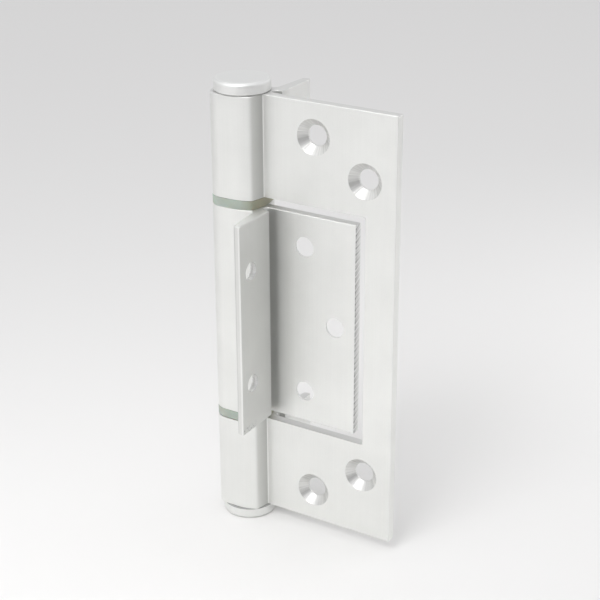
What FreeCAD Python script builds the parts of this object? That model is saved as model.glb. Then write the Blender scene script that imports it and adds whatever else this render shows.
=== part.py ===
import FreeCAD, Part
import math
import os

from FreeCAD import Vector

os.makedirs("parts", exist_ok=True)

# Interfold hinge in millimetres. The hinge axis is Z, the leaves point to +X,
# the outer leaf's flange to +Y and the inner leaf's flange to -Y.
# The lower cap's end face lies at z = 0.

# Extruded section that both leaves are cut from. The barrel has a small round away from
# the plate and a wide round towards it, which ends at an edge. A flat facet runs from
# that edge to the plate's root.
BARREL_LEFT = 7.3
BARREL_HALF_DEPTH = 7.0
BARREL_ROUND = 4.2
BARREL_WIDE_ROUND = 12.5
BARREL_EDGE_X = 6.0
BARREL_EDGE_DEPTH = 5.5
BARREL_EDGE_BREAK = 1.2
PLATE_THICKNESS = 2.6
PLATE_ROOT_X = 7.0
PLATE_ROOT_FILLET = 0.35
FREE_EDGE_BREAK = 0.25
SAWN_EDGE_BREAK = 0.2
FLANGE_FACE = 9.8
FLANGE_ROOT_THICKNESS = 3.0
FLANGE_TIP_THICKNESS = 2.0
FLANGE_TIP = 17.4
FLANGE_TIP_ROUND = 0.9
FLANGE_ROOT_FILLET = 1.0
GROOVE_DEPTH = 2.2
GROOVE_WIDTH = 2.2

# Lengths along the axis
OUTER_HEIGHT = 120.0
WINDOW_HEIGHT = 64.8
LEAF_GAP = 2.6
CAP_RISE = 3.3
INNER_HEIGHT = WINDOW_HEIGHT - 2 * LEAF_GAP
MID_Z = CAP_RISE + OUTER_HEIGHT / 2

# Widths across the leaves
OUTER_EDGE = 45.7
WINDOW_EDGE = 37.1
WINDOW_CORNER = 0.8
SIDE_GAP = 2.7
INNER_EDGE = WINDOW_EDGE - SIDE_GAP

# Countersunk screw holes, each given as distance from the axis and from mid-height
HOLE_DIAMETER = 5.5
SINK_DIAMETER = 9.6
OUTER_HOLES = [(21.85, 50.9), (36.7, 41.8), (36.7, -41.8), (21.85, -50.9)]
INNER_HOLES = [(19.2, 20.9), (28.4, 0.0), (19.2, -20.9)]
FLANGE_HOLE_DIAMETER = 5.0
FLANGE_SINK_DIAMETER = 8.2
FLANGE_HOLE_DEPTH = 12.4
OUTER_FLANGE_HOLES = [46.2, -46.2]
INNER_FLANGE_HOLES = [16.1, -16.1]

# Pin, bushes and caps
PIN_DIAMETER = 7.0
PIN_CHAMFER = 0.4
BUSH_WALL = 1.0
BUSH_SLEEVE = 24.0
PIN_CLEARANCE = 0.05
END_CLEARANCE = 0.1
BUSH_EDGE_BREAK = 0.15
CAP_DIAMETER = 14.9
CAP_ROUND = 1.0
CAP_RELIEF = 0.3
CAP_SPIGOT = 6.0
SPIGOT_CHAMFER = 0.4
PIN_END_GAP = 0.5

# How far a cutting tool runs past the face that it enters or leaves
OVERRUN = 1.0

# How near an edge must lie to a place for it to be the edge that is meant
NEAR = 0.01

PLATE_HALF = PLATE_THICKNESS / 2
FLANGE_TAPER = (FLANGE_ROOT_THICKNESS - FLANGE_TIP_THICKNESS) / (FLANGE_TIP - BARREL_HALF_DEPTH)
WIDE_ROUND_Y = BARREL_HALF_DEPTH - BARREL_WIDE_ROUND
WIDE_ROUND_X = BARREL_EDGE_X - math.sqrt(BARREL_WIDE_ROUND ** 2 - (BARREL_EDGE_DEPTH - WIDE_ROUND_Y) ** 2)


def cylinder(radius, height, x, y, z, direction=Vector(0, 0, 1)):
    return Part.makeCylinder(radius, height, Vector(x, y, z), direction)


def lines(points):
    return [Part.makeLine(first, second) for first, second in zip(points, points[1:])]


def arc(centre, start, end):
    """The shorter arc round the centre from one point to another."""
    radius = (start - centre).Length
    halfway = (start + end) / 2 - centre
    return Part.Arc(start, centre + halfway.normalize() * radius, end).toShape()


def prism(edges, z_low, z_high):
    face = Part.Face(Part.Wire(Part.__sortEdges__(edges)))
    return face.extrude(Vector(0, 0, z_high - z_low)).translated(Vector(0, 0, z_low))


def block(x_low, x_high, y_low, y_high, z_low, z_high):
    size = (x_high - x_low, y_high - y_low, z_high - z_low)
    return Part.makeBox(size[0], size[1], size[2], Vector(x_low, y_low, z_low))


def upright_edges(solid, spots):
    """Edges parallel to the axis that pass through the given x, y places."""
    found = []
    for edge in solid.Edges:
        ends = [vertex.Point for vertex in edge.Vertexes]
        if len(ends) != 2:
            continue
        middle = (ends[0] + ends[1]) / 2
        run = ends[1] - ends[0]
        if math.hypot(run.x, run.y) > NEAR:
            continue
        for x, y in spots:
            if math.hypot(middle.x - x, middle.y - y) < NEAR:
                found.append(edge)
    return found


def barrel_side(side, end_x, end_depth):
    """Outline of one half of the barrel, from its left face to a place on its wide round."""
    small_x = BARREL_ROUND - BARREL_LEFT
    small_y = BARREL_HALF_DEPTH - BARREL_ROUND
    left = Vector(-BARREL_LEFT, side * small_y, 0)
    front_left = Vector(small_x, side * BARREL_HALF_DEPTH, 0)
    front_right = Vector(WIDE_ROUND_X, side * BARREL_HALF_DEPTH, 0)
    return [
        Part.makeLine(Vector(-BARREL_LEFT, 0, 0), left),
        arc(Vector(small_x, side * small_y, 0), left, front_left),
        Part.makeLine(front_left, front_right),
        arc(Vector(WIDE_ROUND_X, side * WIDE_ROUND_Y, 0), front_right, Vector(end_x, side * end_depth, 0)),
    ]


def barrel_block(z_low, z_high):
    """The barrel's outline alone, with the facet on both sides of the plate's root."""
    edges = barrel_side(1, BARREL_EDGE_X, BARREL_EDGE_DEPTH)
    edges += barrel_side(-1, BARREL_EDGE_X, BARREL_EDGE_DEPTH)
    edges += lines([
        Vector(BARREL_EDGE_X, BARREL_EDGE_DEPTH, 0),
        Vector(PLATE_ROOT_X, PLATE_HALF, 0),
        Vector(PLATE_ROOT_X, -PLATE_HALF, 0),
        Vector(BARREL_EDGE_X, -BARREL_EDGE_DEPTH, 0),
    ])
    body = prism(edges, z_low, z_high).removeSplitter()
    corners = [(BARREL_EDGE_X, BARREL_EDGE_DEPTH), (BARREL_EDGE_X, -BARREL_EDGE_DEPTH)]
    return body.makeFillet(BARREL_EDGE_BREAK, upright_edges(body, corners))


def flange_back(depth):
    """Distance from the axis to the flange's tapered face, at this distance from the plate's middle."""
    thickness = FLANGE_ROOT_THICKNESS - FLANGE_TAPER * (depth - BARREL_HALF_DEPTH)
    return FLANGE_FACE - thickness


def flange_root():
    """Place where the flange's tapered face leaves the barrel's wide round."""
    offset = flange_back(WIDE_ROUND_Y) - WIDE_ROUND_X
    a = 1 + FLANGE_TAPER ** 2
    b = 2 * FLANGE_TAPER * offset
    c = offset ** 2 - BARREL_WIDE_ROUND ** 2
    step = (-b + math.sqrt(b ** 2 - 4 * a * c)) / (2 * a)
    depth = WIDE_ROUND_Y + step
    return flange_back(depth), depth


def leaf_section(z_low, z_high, plate_end, side):
    """Barrel, plate and tapered flange in one extrusion. The flange points to side * Y."""
    def corner(x, y):
        return Vector(x, side * y, 0)

    root_x, root_depth = flange_root()
    edges = barrel_side(side, root_x, root_depth)
    edges += barrel_side(-side, BARREL_EDGE_X, BARREL_EDGE_DEPTH)
    edges += lines([
        corner(root_x, root_depth),
        corner(flange_back(FLANGE_TIP), FLANGE_TIP),
        corner(FLANGE_FACE, FLANGE_TIP),
        corner(FLANGE_FACE, PLATE_HALF),
        corner(plate_end, PLATE_HALF),
        corner(plate_end, -PLATE_HALF),
        corner(PLATE_ROOT_X, -PLATE_HALF),
        corner(BARREL_EDGE_X, -BARREL_EDGE_DEPTH),
    ])
    body = prism(edges, z_low, z_high).removeSplitter()

    body = body.makeFillet(BARREL_EDGE_BREAK, upright_edges(body, [(BARREL_EDGE_X, -side * BARREL_EDGE_DEPTH)]))
    body = body.makeFillet(PLATE_ROOT_FILLET, upright_edges(body, [(PLATE_ROOT_X, -side * PLATE_HALF)]))
    body = body.makeFillet(FLANGE_ROOT_FILLET, upright_edges(body, [(root_x, side * root_depth)]))
    edges = upright_edges(body, [
        (plate_end, -PLATE_HALF),
        (plate_end, PLATE_HALF),
        (FLANGE_FACE, side * FLANGE_TIP),
    ])
    body = body.makeFillet(FREE_EDGE_BREAK, edges)
    edges = upright_edges(body, [(flange_back(FLANGE_TIP), side * FLANGE_TIP)])
    body = body.makeFillet(FLANGE_TIP_ROUND, edges)

    # Relief groove where the flange meets the plate, round at its bottom
    radius = GROOVE_WIDTH / 2
    centre_x = FLANGE_FACE - GROOVE_DEPTH + radius
    centre_y = side * (PLATE_HALF + radius)
    groove = cylinder(radius, z_high - z_low, centre_x, centre_y, z_low)
    mouth_low = centre_y - radius
    mouth_high = centre_y + radius
    groove = groove.fuse(block(centre_x, FLANGE_FACE + OVERRUN, mouth_low, mouth_high, z_low, z_high))
    return body.cut(groove)


def countersunk(start, direction, thickness, bore_diameter, sink_diameter):
    """Screw hole with a 90 degree countersink at its start, running along the direction."""
    bore_radius = bore_diameter / 2
    sink_radius = sink_diameter / 2
    bore = Part.makeCylinder(bore_radius, thickness + OVERRUN, start, direction)
    cone = Part.makeCone(sink_radius, bore_radius, sink_radius - bore_radius, start, direction)
    outside = Part.makeCylinder(sink_radius, OVERRUN, start - direction * OVERRUN, direction)
    return bore.fuse(cone).fuse(outside)


def break_sawn_edges(body, heights):
    """Small chamfer round the outline of each sawn end face."""
    outline = []
    for face in body.Faces:
        flat = face.normalAt(0, 0)
        if abs(flat.z) < 0.999:
            continue
        if min(abs(face.CenterOfMass.z - height) for height in heights) < NEAR:
            outline.extend(face.OuterWire.Edges)
    return body.makeChamfer(SAWN_EDGE_BREAK, outline)


def drill(body, plate_holes, flange_holes, side):
    """Plate holes are sunk from the face away from the flange, flange holes from the barrel side."""
    through_plate = Vector(0, side, 0)
    for x, height in plate_holes:
        start = Vector(x, -side * PLATE_HALF, MID_Z + height)
        body = body.cut(countersunk(start, through_plate, PLATE_THICKNESS, HOLE_DIAMETER, SINK_DIAMETER))
    through_flange = Vector(1, 0, 0)
    start_x = flange_back(FLANGE_HOLE_DEPTH)
    for height in flange_holes:
        start = Vector(start_x, side * FLANGE_HOLE_DEPTH, MID_Z + height)
        body = body.cut(countersunk(
            start, through_flange, FLANGE_FACE - start_x, FLANGE_HOLE_DIAMETER, FLANGE_SINK_DIAMETER))
    return body


def outer_leaf():
    low = CAP_RISE
    high = CAP_RISE + OUTER_HEIGHT
    body = leaf_section(low, high, OUTER_EDGE, 1)
    reach = FLANGE_TIP + OVERRUN
    window_low = MID_Z - WINDOW_HEIGHT / 2
    window_high = MID_Z + WINDOW_HEIGHT / 2
    window = block(-reach, WINDOW_EDGE, -reach, reach, window_low, window_high)
    corners = []
    for edge in window.Edges:
        ends = [vertex.Point for vertex in edge.Vertexes]
        if all(abs(end.x - WINDOW_EDGE) < NEAR for end in ends) and abs(ends[0].y - ends[1].y) > NEAR:
            corners.append(edge)
    window = window.makeFillet(WINDOW_CORNER, corners)
    body = body.cut(window)
    body = break_sawn_edges(body, [low, high])
    body = body.cut(cylinder(PIN_DIAMETER / 2, OUTER_HEIGHT, 0, 0, low))
    return drill(body, OUTER_HOLES, OUTER_FLANGE_HOLES, 1)


def inner_leaf():
    low = MID_Z - INNER_HEIGHT / 2
    high = MID_Z + INNER_HEIGHT / 2
    body = leaf_section(low, high, INNER_EDGE, -1)
    body = break_sawn_edges(body, [low, high])
    bore = PIN_DIAMETER / 2 + PIN_CLEARANCE + BUSH_WALL
    body = body.cut(cylinder(bore, INNER_HEIGHT, 0, 0, low))
    return drill(body, INNER_HOLES, INNER_FLANGE_HOLES, -1)


def hinge_pin():
    low = CAP_RISE + CAP_SPIGOT + PIN_END_GAP
    high = CAP_RISE + OUTER_HEIGHT - CAP_SPIGOT - PIN_END_GAP
    body = cylinder(PIN_DIAMETER / 2, high - low, 0, 0, low)
    rims = [edge for edge in body.Edges if edge.Closed]
    return body.makeChamfer(PIN_CHAMFER, rims)


def bush(end):
    """Flanged bush. Its flange fills the gap between two knuckles, end is +1 or -1."""
    seat = MID_Z + end * INNER_HEIGHT / 2
    flange_top = LEAF_GAP - END_CLEARANCE
    low = min(seat, seat + end * flange_top)
    rim = barrel_block(low, low + flange_top)
    outline = []
    for edge in rim.Edges:
        heights = [vertex.Point.z for vertex in edge.Vertexes]
        if max(heights) - min(heights) < NEAR:
            outline.append(edge)
    rim = rim.makeChamfer(BUSH_EDGE_BREAK, outline)
    inner = PIN_DIAMETER / 2 + PIN_CLEARANCE
    start = seat - BUSH_SLEEVE if end > 0 else low
    length = BUSH_SLEEVE + flange_top
    body = rim.fuse(cylinder(inner + BUSH_WALL, BUSH_SLEEVE, 0, 0, min(seat, seat - end * BUSH_SLEEVE)))
    return body.removeSplitter().cut(cylinder(inner, length, 0, 0, start))


def cap(end):
    """Turned cap with a spigot in the knuckle's bore, end is +1 or -1."""
    seat = MID_Z + end * OUTER_HEIGHT / 2
    outward = Vector(0, 0, end)
    radius = CAP_DIAMETER / 2
    spigot = PIN_DIAMETER / 2
    profile = [
        Vector(0, 0, -CAP_SPIGOT),
        Vector(spigot - SPIGOT_CHAMFER, 0, -CAP_SPIGOT),
        Vector(spigot, 0, -CAP_SPIGOT + SPIGOT_CHAMFER),
        Vector(spigot, 0, 0),
        Vector(radius - CAP_RELIEF, 0, 0),
        Vector(radius, 0, CAP_RELIEF),
        Vector(radius, 0, CAP_RISE - CAP_ROUND),
    ]
    top_edge = Vector(radius - CAP_ROUND, 0, CAP_RISE)
    edges = lines(profile)
    edges.append(arc(Vector(radius - CAP_ROUND, 0, CAP_RISE - CAP_ROUND), profile[-1], top_edge))
    edges += lines([top_edge, Vector(0, 0, CAP_RISE), profile[0]])
    body = Part.Face(Part.Wire(edges)).revolve(Vector(0, 0, 0), Vector(0, 0, 1), 360)
    if end < 0:
        body = body.mirror(Vector(0, 0, 0), Vector(0, 0, 1))
    return body.translated(Vector(0, 0, seat))


pieces = {
    "outer_leaf": outer_leaf(),
    "inner_leaf": inner_leaf(),
    "hinge_pin": hinge_pin(),
    "upper_bush": bush(1),
    "lower_bush": bush(-1),
    "top_cap": cap(1),
    "bottom_cap": cap(-1),
}

for name, shape in pieces.items():
    if len(shape.Solids) != 1:
        raise RuntimeError(name + " is not one solid")
    solid = shape.Solids[0]
    if not solid.isValid():
        raise RuntimeError(name + " is not a valid solid")
    if solid.Volume < 0:
        raise RuntimeError(name + " is inside out")
    solid.exportStep("parts/" + name + ".step")
    box = solid.BoundBox
    print(name, round(solid.Volume, 1), [round(value, 2) for value in (
        box.XMin, box.XMax, box.YMin, box.YMax, box.ZMin, box.ZMax)])
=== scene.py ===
import math

import bpy
from mathutils import Euler, Matrix, Vector


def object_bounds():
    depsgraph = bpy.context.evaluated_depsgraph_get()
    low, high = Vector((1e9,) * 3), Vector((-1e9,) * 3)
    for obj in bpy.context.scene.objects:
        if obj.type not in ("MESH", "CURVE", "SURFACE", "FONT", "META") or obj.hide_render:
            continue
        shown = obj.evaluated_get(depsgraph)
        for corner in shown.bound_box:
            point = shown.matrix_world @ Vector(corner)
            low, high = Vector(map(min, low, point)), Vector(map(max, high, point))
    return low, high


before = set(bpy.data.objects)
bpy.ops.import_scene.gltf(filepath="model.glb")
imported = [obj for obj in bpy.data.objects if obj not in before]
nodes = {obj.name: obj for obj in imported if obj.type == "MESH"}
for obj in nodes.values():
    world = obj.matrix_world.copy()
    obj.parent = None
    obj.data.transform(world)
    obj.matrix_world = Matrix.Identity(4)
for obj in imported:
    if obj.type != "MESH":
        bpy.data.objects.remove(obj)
cad_low, cad_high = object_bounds()


# Outer leaf. One length of aluminium extrusion with barrel, plate and flange, etched and
# anodised silver. The ends are sawn, the window for the inner leaf is milled out of the
# barrel side, and the screw holes are drilled and countersunk after that.
ANODISED = (0.88, 0.885, 0.865)
MACHINED = (0.77, 0.77, 0.755, 1.0)

# Sizes in metres: x along the plate and depth across it from the pin's axis, height from the middle
MID_HEIGHT = (cad_low[2] + cad_high[2]) / 2
OUTER_HALF_HEIGHT = 0.060
OUTER_WINDOW_EDGE = 0.0371
OUTER_WINDOW_HALF = 0.0324
OUTER_PLATE_HOLES = [(0.02185, 0.0509), (0.0367, 0.0418)]
OUTER_FLANGE_HOLE = (0.0124, 0.0462)
SINK_REACH = 0.00485
PLATE_HALF = 0.0013
FACET = (0.0057, 0.00695)
FLANGE_FACE = 0.0098
FLANGE_ROOT = (0.0068, 0.0070)
FLANGE_TIP = (0.0078, 0.0174)

# How far from its face the edge of a mask lies
UNDER_FACE = 0.00001
PAST_FACE = 0.00002
FACE_BAND = 0.0001
END_BAND = 0.00012

# Cutter marks in the holes, and the painted shade that the flange's bore takes off their tone
RING_PITCH = 0.00022
CHATTER_SWING = 0.2
CHATTER_TONES = (0.84, 1.10)
BORE_SHADE = 0.18

# Painted shade in the inside corners and on the flange's tip
CORNER_SHADE = 0.33
CORNER_REACH = (0.0010, 0.0065)
CORNER_WEIGHT = 0.68
TIP_SHADES = (0.30, 0.12)
TIP_FADE = 0.0007
TIP_ROUND = 0.0009
TIP_BRIGHT_LINE = 0.0005

# What drilling takes off the roughness, and what sawing adds to it
HOLE_POLISH = 0.05
SAWN_DULLNESS = 0.12


def link_value(tree, socket, value):
    """Sets a socket to a number or colour, or links it to another socket."""
    if isinstance(value, bpy.types.NodeSocket):
        tree.links.new(value, socket)
    else:
        socket.default_value = value


def maths(tree, operation, first, second=0.0):
    step = tree.nodes.new("ShaderNodeMath")
    step.operation = operation
    link_value(tree, step.inputs[0], first)
    link_value(tree, step.inputs[1], second)
    return step.outputs[0]


def product(tree, first, *others):
    for other in others:
        first = maths(tree, "MULTIPLY", first, other)
    return first


def darken(tree, tone, share):
    """Takes a share off a tone."""
    return product(tree, tone, maths(tree, "SUBTRACT", 1.0, share))


def remap(tree, value, from_low, from_high, to_low=0.0, to_high=1.0):
    step = tree.nodes.new("ShaderNodeMapRange")
    link_value(tree, step.inputs["Value"], value)
    step.inputs["From Min"].default_value = from_low
    step.inputs["From Max"].default_value = from_high
    step.inputs["To Min"].default_value = to_low
    step.inputs["To Max"].default_value = to_high
    return step.outputs["Result"]


def grain(tree, place, scale, detail, stretch=(1.0, 1.0, 1.0)):
    """Noise on the piece's own coordinates, scaled per metre and drawn out by the stretch."""
    mapping = tree.nodes.new("ShaderNodeMapping")
    mapping.inputs["Scale"].default_value = stretch
    tree.links.new(place, mapping.inputs["Vector"])
    noise = tree.nodes.new("ShaderNodeTexNoise")
    noise.inputs["Scale"].default_value = scale
    noise.inputs["Detail"].default_value = detail
    tree.links.new(mapping.outputs["Vector"], noise.inputs["Vector"])
    return noise.outputs["Fac"]


def vary(tree, noise, low, high):
    """Spreads the middle range of a noise, where most of it lies, from low to high."""
    return remap(tree, noise, 0.3, 0.7, low, high)


def blend_colours(tree, share, first, second):
    mix = tree.nodes.new("ShaderNodeMix")
    mix.data_type = "RGBA"
    link_value(tree, mix.inputs["Factor"], share)
    link_value(tree, mix.inputs["A"], first)
    link_value(tree, mix.inputs["B"], second)
    return mix.outputs["Result"]


def toned(tree, colour, tone):
    """A colour made lighter or darker by a tone."""
    step = tree.nodes.new("ShaderNodeVectorMath")
    step.operation = "SCALE"
    link_value(tree, step.inputs[0], colour)
    tree.links.new(tone, step.inputs["Scale"])
    return step.outputs["Vector"]


def bump(tree, height, distance, strength, under=None):
    step = tree.nodes.new("ShaderNodeBump")
    step.inputs["Distance"].default_value = distance
    step.inputs["Strength"].default_value = strength
    tree.links.new(height, step.inputs["Height"])
    if under is not None:
        tree.links.new(under, step.inputs["Normal"])
    return step.outputs["Normal"]


def new_material(name):
    """A material, its node tree and shader, and a point's place on the piece."""
    material = bpy.data.materials.new(name)
    material.use_nodes = True
    tree = material.node_tree
    shader = tree.nodes["Principled BSDF"]
    place = tree.nodes.new("ShaderNodeTexCoord").outputs["Object"]
    return material, tree, shader, place


def axes_of(tree, place):
    split = tree.nodes.new("ShaderNodeSeparateXYZ")
    tree.links.new(place, split.inputs["Vector"])
    return split.outputs["X"], split.outputs["Y"], split.outputs["Z"]


def radius_from(tree, first, second, centre):
    """Distance from a centre, measured along the two axes across it."""
    across = maths(tree, "SUBTRACT", first, centre[0])
    along = maths(tree, "SUBTRACT", second, centre[1])
    squares = maths(tree, "ADD", maths(tree, "POWER", across, 2.0), maths(tree, "POWER", along, 2.0))
    return maths(tree, "SQRT", squares)


def hole_marks(tree, first, second, centre, in_wall):
    """Where a hole is, the fine rings that its cutter left, and the fan of chatter round it."""
    radius = radius_from(tree, first, second, centre)
    inside = product(tree, maths(tree, "LESS_THAN", radius, SINK_REACH), in_wall)
    rings = maths(tree, "SINE", product(tree, radius, 2 * math.pi / RING_PITCH))
    around = tree.nodes.new("ShaderNodeCombineXYZ")
    for axis, coordinate in enumerate((first, second)):
        from_centre = maths(tree, "SUBTRACT", coordinate, centre[axis])
        tree.links.new(maths(tree, "DIVIDE", from_centre, radius), around.inputs[axis])
    fan = maths(tree, "SUBTRACT", grain(tree, around.outputs[0], scale=9.0, detail=3.0), 0.5)
    return inside, product(tree, rings, inside), product(tree, fan, inside)


def leaf_holes(tree, x, depth, height, plate_holes, flange_hole):
    """Marks of all the holes, each under the plate's faces or between the flange's two faces."""
    in_plate = maths(tree, "LESS_THAN", depth, PLATE_HALF - UNDER_FACE)
    flange_back = remap(tree, depth, FLANGE_ROOT[1], FLANGE_TIP[1], FLANGE_ROOT[0], FLANGE_TIP[0])
    in_flange = product(
        tree,
        maths(tree, "LESS_THAN", x, FLANGE_FACE - UNDER_FACE),
        maths(tree, "GREATER_THAN", x, maths(tree, "ADD", flange_back, PAST_FACE)),
        maths(tree, "GREATER_THAN", depth, FLANGE_ROOT[1]))
    in_bore, rings, fan = hole_marks(tree, depth, height, flange_hole, in_flange)
    in_hole = in_bore
    for hole in plate_holes:
        inside, hole_rings, hole_fan = hole_marks(tree, x, height, hole, in_plate)
        in_hole = maths(tree, "ADD", in_hole, inside)
        rings = maths(tree, "ADD", rings, hole_rings)
        fan = maths(tree, "ADD", fan, hole_fan)
    return in_hole, in_bore, rings, fan


def on_flange_face(tree, x):
    off_face = maths(tree, "ABSOLUTE", maths(tree, "SUBTRACT", x, FLANGE_FACE))
    return maths(tree, "LESS_THAN", off_face, FACE_BAND)


def painted_corner_shade(tree, x, y, depth, flange_side, flange_shade):
    """Painted shade on the facet at the plate's root, in the corner of plate and flange, and up the
    flange.
    """
    facet = product(tree, remap(tree, x, *FACET), maths(tree, "LESS_THAN", x, FACET[1]))
    from_corner = radius_from(tree, x, depth, (FLANGE_FACE, PLATE_HALF))
    corner = remap(tree, from_corner, *CORNER_REACH, CORNER_WEIGHT, 0.0)
    corner = maths(tree, "MAXIMUM", corner, product(tree, on_flange_face(tree, x), flange_shade))
    this_side = maths(tree, "GREATER_THAN", product(tree, y, flange_side), 0.0)
    return product(tree, maths(tree, "MAXIMUM", facet, product(tree, corner, this_side)), CORNER_SHADE)


def painted_tip_shade(tree, x, depth):
    """Painted shade on the flange's rounded tip, stopping short of a bright line along its front."""
    behind_line = maths(tree, "LESS_THAN", x, FLANGE_FACE - TIP_BRIGHT_LINE)
    tip = product(tree, maths(tree, "GREATER_THAN", depth, FLANGE_TIP[1] - TIP_ROUND), behind_line)
    return product(tree, tip, remap(tree, x, FLANGE_TIP[0], FLANGE_TIP[0] + TIP_FADE, *TIP_SHADES))


def leaf_material(name, flange_side, flange_shade, plate_holes, flange_hole, sawn_mask, rough_edge=None):
    """Anodised extrusion with sawn faces and machined countersinks, each where its mask says."""
    material, tree, shader, place = new_material(name)
    x, y, z = axes_of(tree, place)
    depth = maths(tree, "ABSOLUTE", y)
    height = maths(tree, "ABSOLUTE", maths(tree, "SUBTRACT", z, MID_HEIGHT))
    in_hole, in_bore, rings, fan = leaf_holes(tree, x, depth, height, plate_holes, flange_hole)
    sawn = sawn_mask(tree, x, height)
    etched = grain(tree, place, scale=9000.0, detail=3.0)
    streaks = grain(tree, place, scale=2600.0, detail=2.0, stretch=(1.0, 1.0, 0.012))
    cloud = grain(tree, place, scale=60.0, detail=3.0)
    end_lines = grain(tree, place, scale=900.0, detail=2.0, stretch=(3.0, 0.25, 1.0))

    tone = product(
        tree,
        vary(tree, cloud, 0.97, 1.03),
        vary(tree, etched, 0.975, 1.025),
        vary(tree, streaks, 0.993, 1.007))
    # Painted shade in the inside corners and on the flange's tip
    tone = darken(tree, tone, painted_corner_shade(tree, x, y, depth, flange_side, flange_shade))
    tone = darken(tree, tone, painted_tip_shade(tree, x, depth))
    cut = maths(tree, "MAXIMUM", in_hole, sawn)
    colour = blend_colours(tree, cut, toned(tree, ANODISED, tone), MACHINED)
    chatter = remap(tree, fan, -CHATTER_SWING, CHATTER_SWING, *CHATTER_TONES)
    # Painted shade on the cutter marks in the flange's bore
    chatter = darken(tree, chatter, product(tree, in_bore, BORE_SHADE))
    colour = toned(tree, colour, chatter)

    dull = vary(tree, etched, 0.40, 0.50)
    dull = maths(tree, "SUBTRACT", dull, product(tree, in_hole, HOLE_POLISH))
    dull = maths(tree, "ADD", dull, product(tree, sawn, SAWN_DULLNESS))

    normal = bump(tree, etched, distance=0.00002, strength=0.25)
    normal = bump(tree, streaks, distance=0.00001, strength=0.12, under=normal)
    normal = bump(tree, rings, distance=0.00002, strength=0.4, under=normal)
    normal = bump(tree, fan, distance=0.0001, strength=0.3, under=normal)
    normal = bump(tree, product(tree, end_lines, sawn), distance=0.00005, strength=0.5, under=normal)

    if rough_edge:
        colour, normal = rough_edge(tree, place, (x, y, z), colour, normal)
    tree.links.new(colour, shader.inputs["Base Color"])
    tree.links.new(dull, shader.inputs["Roughness"])
    tree.links.new(normal, shader.inputs["Normal"])
    shader.inputs["Metallic"].default_value = 1.0
    return material


def outer_sawn(tree, x, height):
    """End faces, and the walls of the milled window."""
    ends = maths(tree, "GREATER_THAN", height, OUTER_HALF_HEIGHT - END_BAND)
    in_height = maths(tree, "LESS_THAN", height, OUTER_WINDOW_HALF + PAST_FACE)
    in_width = maths(tree, "LESS_THAN", x, OUTER_WINDOW_EDGE + PAST_FACE)
    return maths(tree, "MAXIMUM", ends, product(tree, in_height, in_width))


nodes["outer_leaf"].material_slots[0].material = leaf_material(
    "outer_leaf_anodised",
    flange_side=1.0,
    flange_shade=0.0,
    plate_holes=OUTER_PLATE_HOLES,
    flange_hole=OUTER_FLANGE_HOLE,
    sawn_mask=outer_sawn)


# Inner leaf. A shorter length of the same extrusion, turned end for end so that its flange
# points the other way. Its plate is sawn narrower, which leaves a rough free edge.
INNER_HALF_HEIGHT = 0.0298
INNER_EDGE = 0.0344
INNER_PLATE_HOLES = [(0.0192, 0.0209), (0.0284, 0.0)]
INNER_FLANGE_HOLE = (0.0124, 0.0161)
# Share of painted shade on the inner flange's face
INNER_FLANGE_SHADE = 0.42

# Saw marks on the free edge, which fade from the plate's front to its back
SAW_SLOPE = 0.4
SAW_PITCHES = (0.0017, 0.0009)
SAW_WANDER = 0.0016
SAW_SWING = 1.8
SAW_TONES = (0.38, 0.80)
SAW_FADE_DEPTHS = (-0.0012, 0.0010)
SAW_FADE_SHARES = (1.0, 0.25)

# Torn metal on the lowest part of the flange's face, pitted and only towards the tip
TORN_TOP = (0.0012, 0.0024)
TORN_SIDE = (-0.0115, -0.0105)
TORN_PITS = (0.44, 0.57)


def inner_sawn(tree, x, height):
    return maths(tree, "GREATER_THAN", height, INNER_HALF_HEIGHT - END_BAND)


def saw_lines(tree, place, y, z):
    """Marks of a saw that run up across the edge and wander a little, broad and fine ones."""
    run = maths(tree, "SUBTRACT", z, product(tree, y, SAW_SLOPE))
    run = maths(tree, "ADD", run, product(tree, grain(tree, place, scale=250.0, detail=3.0), SAW_WANDER))
    broad, fine = [maths(tree, "SINE", product(tree, run, 2 * math.pi / pitch)) for pitch in SAW_PITCHES]
    return remap(tree, maths(tree, "ADD", broad, fine), -SAW_SWING, SAW_SWING)


def torn_foot(tree, place, x, y, z):
    """Pitted metal along the foot of the flange's face, strongest right at the cut."""
    above_foot = maths(tree, "SUBTRACT", z, MID_HEIGHT - INNER_HALF_HEIGHT)
    foot = remap(tree, above_foot, *TORN_TOP, 1.0, 0.0)
    outer_part = remap(tree, y, *TORN_SIDE, 1.0, 0.0)
    pits = remap(tree, grain(tree, place, scale=1100.0, detail=2.0), *TORN_PITS)
    return product(tree, on_flange_face(tree, x), foot, outer_part, pits)


def inner_rough_edge(tree, place, axes, colour, normal):
    """Adds the saw marks on the free edge and the torn metal at the flange's foot."""
    x, y, z = axes
    edge = maths(tree, "GREATER_THAN", x, INNER_EDGE - END_BAND)
    edge = product(tree, edge, remap(tree, y, *SAW_FADE_DEPTHS, *SAW_FADE_SHARES))
    rough = maths(tree, "MAXIMUM", edge, torn_foot(tree, place, x, y, z))
    lines = saw_lines(tree, place, y, z)
    hatch = toned(tree, (1.0, 1.0, 1.0), remap(tree, lines, 0.0, 1.0, *SAW_TONES))
    colour = blend_colours(tree, rough, colour, hatch)
    normal = bump(tree, product(tree, lines, rough), distance=0.00005, strength=0.5, under=normal)
    return colour, normal


nodes["inner_leaf"].material_slots[0].material = leaf_material(
    "inner_leaf_anodised",
    flange_side=-1.0,
    flange_shade=INNER_FLANGE_SHADE,
    plate_holes=INNER_PLATE_HOLES,
    flange_hole=INNER_FLANGE_HOLE,
    sawn_mask=inner_sawn,
    rough_edge=inner_rough_edge)


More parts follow.
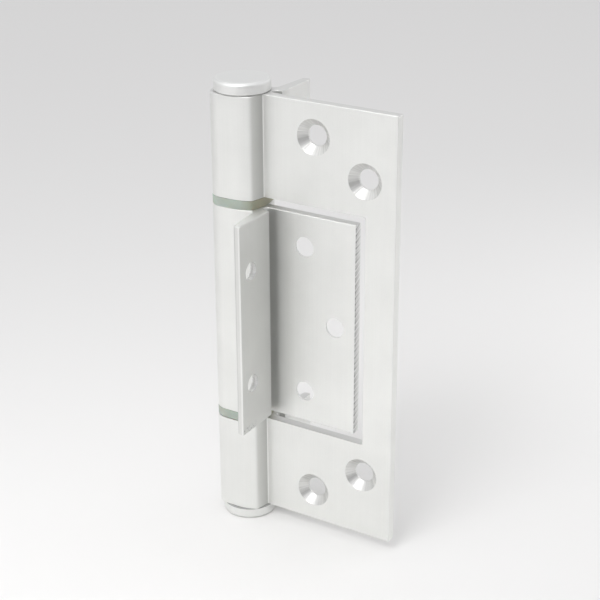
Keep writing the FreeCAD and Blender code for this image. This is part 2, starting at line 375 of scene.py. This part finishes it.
# Bushes. Moulded grey-green nylon, pressed into both ends of the inner knuckle. Their
# flanges are the thin rings between the knuckles, cut to the barrel's outline, and have a
# painted shade, darker and more olive, towards the plates.
NYLON = (0.40, 0.447, 0.395, 1.0)
NYLON_OLIVE_SHADE = (0.30, 0.30, 0.22, 1.0)
OLIVE_SHADE_SIDE = (0.0030, 0.0065)


def nylon_material(name):
    material, tree, shader, place = new_material(name)
    from_axis = axes_of(tree, place)[0]
    fine = grain(tree, place, scale=5000.0, detail=3.0)
    cloud = grain(tree, place, scale=250.0, detail=3.0)
    tone = product(tree, vary(tree, fine, 0.96, 1.04), vary(tree, cloud, 0.93, 1.07))
    # Painted shade, darker and more olive, towards the plates
    colour = blend_colours(tree, remap(tree, from_axis, *OLIVE_SHADE_SIDE), NYLON, NYLON_OLIVE_SHADE)
    tree.links.new(toned(tree, colour, tone), shader.inputs["Base Color"])
    tree.links.new(vary(tree, fine, 0.42, 0.55), shader.inputs["Roughness"])
    tree.links.new(bump(tree, fine, distance=0.00002, strength=0.3), shader.inputs["Normal"])
    shader.inputs["Subsurface Weight"].default_value = 0.25
    shader.inputs["Subsurface Scale"].default_value = 0.001
    return material


nylon = nylon_material("bush_nylon")
for name in ("upper_bush", "lower_bush"):
    nodes[name].material_slots[0].material = nylon


# Hinge pin. Ground stainless rod, held in the outer knuckles and hidden by the caps.
# Fine rings run round it from the grinding.
STAINLESS = (0.60, 0.60, 0.61)


def ground_steel(name):
    material, tree, shader, place = new_material(name)
    rings = grain(tree, place, scale=3000.0, detail=2.0, stretch=(0.1, 0.1, 1.0))
    tree.links.new(toned(tree, STAINLESS, vary(tree, rings, 0.94, 1.06)), shader.inputs["Base Color"])
    tree.links.new(vary(tree, rings, 0.22, 0.34), shader.inputs["Roughness"])
    tree.links.new(bump(tree, rings, distance=0.00001, strength=0.3), shader.inputs["Normal"])
    shader.inputs["Metallic"].default_value = 1.0
    return material


nodes["hinge_pin"].material_slots[0].material = ground_steel("pin_steel")


# Caps. Turned aluminium discs with a spigot pushed into the outer knuckle's bore. The
# lathe leaves fine rings on the end face, the rim is rounded over and a little duller, and
# the chamfer against the knuckle gets a painted shade.
CAP_ALUMINIUM = (0.86, 0.865, 0.85)
CAP_RING_PITCH = 0.0006
CAP_RING_WANDER = 2.0
CAP_CHAMFER = 0.00032
CAP_RIM = 0.0066
RIM_ROUND = 0.0003
RIM_DULLNESS = 0.08
CHAMFER_SHADE = 0.35
CHAMFER_DULLNESS = 0.4


def turned_aluminium(name):
    material, tree, shader, place = new_material(name)
    x, y, z = axes_of(tree, place)
    radius = radius_from(tree, x, y, (0.0, 0.0))
    wander = product(tree, grain(tree, place, scale=900.0, detail=2.0), CAP_RING_WANDER)
    turns = product(tree, radius, 2 * math.pi / CAP_RING_PITCH)
    rings = maths(tree, "SINE", maths(tree, "ADD", turns, wander))
    etched = grain(tree, place, scale=9000.0, detail=3.0)
    height = maths(tree, "ABSOLUTE", maths(tree, "SUBTRACT", z, MID_HEIGHT))
    chamfer = maths(tree, "LESS_THAN", height, OUTER_HALF_HEIGHT + CAP_CHAMFER)

    tone = product(tree, remap(tree, rings, -1.0, 1.0, 0.97, 1.03), vary(tree, etched, 0.975, 1.025))
    # Painted shade on the chamfer against the knuckle
    tone = darken(tree, tone, product(tree, chamfer, CHAMFER_SHADE))
    tree.links.new(toned(tree, CAP_ALUMINIUM, tone), shader.inputs["Base Color"])

    rim = remap(tree, radius, CAP_RIM - RIM_ROUND, CAP_RIM, 0.0, RIM_DULLNESS)
    dull = maths(tree, "ADD", vary(tree, etched, 0.36, 0.46), rim)
    dull = maths(tree, "ADD", dull, product(tree, chamfer, CHAMFER_DULLNESS))
    tree.links.new(dull, shader.inputs["Roughness"])

    normal = bump(tree, etched, distance=0.00002, strength=0.25)
    normal = bump(tree, rings, distance=0.00001, strength=0.35, under=normal)
    tree.links.new(normal, shader.inputs["Normal"])
    shader.inputs["Metallic"].default_value = 1.0
    return material


cap_finish = turned_aluminium("cap_aluminium")
for name in ("top_cap", "bottom_cap"):
    nodes[name].material_slots[0].material = cap_finish


# Studio floor. Smooth pale matt paint, level with the lower cap that the hinge stands on,
# and large enough to have no edge in sight.
FLOOR_SIZE = 8.0
FLOOR_PAINT = (0.84, 0.835, 0.825, 1.0)

bpy.ops.object.select_all(action="DESELECT")
bpy.ops.mesh.primitive_plane_add(size=FLOOR_SIZE, location=(0.0, 0.0, 0.0))
floor = bpy.context.object
floor.name = "studio_floor"
floor_paint = bpy.data.materials.new("studio_floor_paint")
floor_paint.use_nodes = True
floor_shader = floor_paint.node_tree.nodes["Principled BSDF"]
floor_shader.inputs["Base Color"].default_value = FLOOR_PAINT
floor_shader.inputs["Roughness"].default_value = 0.9
floor_shader.inputs["Specular IOR Level"].default_value = 0.1
floor.data.materials.append(floor_paint)


# Soft light. Large panels on the left, above, over the camera and behind, and two smaller
# ones that light the floor which the plates and flanges mirror. The pale room is darker on
# the camera's right, as a studio is where nobody has put a reflector.
HINGE_MIDDLE = (0.02, 0.0, 0.06)
ROOM_COLOUR = (0.97, 0.97, 0.985, 1.0)
ROOM_STRENGTH = 0.78
DARK_SIDE_STRENGTH = 0.22
DARK_SIDE_WAY = (0.78, -0.62, 0.06)
DARK_SIDE_EDGE = (0.80, 0.97)


def soft_panel(name, place, width, height, watts, target=HINGE_MIDDLE, spread=180.0):
    data = bpy.data.lights.new(name, "AREA")
    data.shape = "RECTANGLE"
    data.size = width
    data.size_y = height
    data.energy = watts
    data.spread = math.radians(spread)
    lamp = bpy.data.objects.new(name, data)
    bpy.context.scene.collection.objects.link(lamp)
    lamp.location = place
    aim = Vector(target) - Vector(place)
    lamp.rotation_euler = aim.to_track_quat("-Z", "Y").to_euler()


soft_panel("left_panel", place=(-0.38, -0.66, 0.26), width=0.7, height=0.4, watts=0.46)
soft_panel("top_panel", place=(-0.05, 0.05, 0.85), width=0.8, height=0.8, watts=0.6)
soft_panel("front_panel", place=(0.25, -0.62, 0.62), width=0.8, height=0.5, watts=0.45)
soft_panel("back_panel", place=(0.34, 0.52, 0.36), width=0.5, height=0.35, watts=0.12)
soft_panel("front_floor_light", place=(0.0, -0.29, 0.42), width=0.2, height=0.2, watts=0.16,
           target=(-0.01, -0.10, 0.0), spread=75.0)
soft_panel("back_floor_light", place=(0.26, 0.32, 0.30), width=0.15, height=0.15, watts=0.06,
           target=(0.17, 0.21, 0.0), spread=65.0)

room = bpy.data.worlds.new("pale_room")
bpy.context.scene.world = room
room.use_nodes = True
room_tree = room.node_tree
room_light = room_tree.nodes["Background"]
room_light.inputs["Color"].default_value = ROOM_COLOUR
way = room_tree.nodes.new("ShaderNodeTexCoord").outputs["Generated"]
dark_side = room_tree.nodes.new("ShaderNodeVectorMath")
dark_side.operation = "DOT_PRODUCT"
dark_side.inputs[1].default_value = DARK_SIDE_WAY
room_tree.links.new(way, dark_side.inputs[0])
strength = remap(room_tree, dark_side.outputs["Value"], *DARK_SIDE_EDGE, ROOM_STRENGTH, DARK_SIDE_STRENGTH)
room_tree.links.new(strength, room_light.inputs["Strength"])


# Camera at the photograph's place, looking down at the free edges from their right. Its
# turn, tilt and roll are in degrees, and its lens and sensor in millimetres.
CAMERA_PLACE = (0.20531, -0.30929, MID_HEIGHT + 0.16375)
CAMERA_TURN = 31.338
CAMERA_TILT = 23.675
CAMERA_ROLL = -0.227
CAMERA_LENS = 89.68
CAMERA_SENSOR = 36.0
CAMERA_NEAREST = 0.01

camera_data = bpy.data.cameras.new("camera")
camera_data.lens = CAMERA_LENS
camera_data.sensor_width = CAMERA_SENSOR
camera_data.clip_start = CAMERA_NEAREST
camera = bpy.data.objects.new("camera", camera_data)
bpy.context.scene.collection.objects.link(camera)
aim = Euler((math.radians(90.0 - CAMERA_TILT), 0.0, math.radians(CAMERA_TURN))).to_matrix()
turn = aim @ Matrix.Rotation(math.radians(CAMERA_ROLL), 3, "Z")
camera.matrix_world = Matrix.Translation(CAMERA_PLACE) @ turn.to_4x4()
bpy.context.scene.camera = camera
bpy.context.scene.view_settings.view_transform = "Standard"
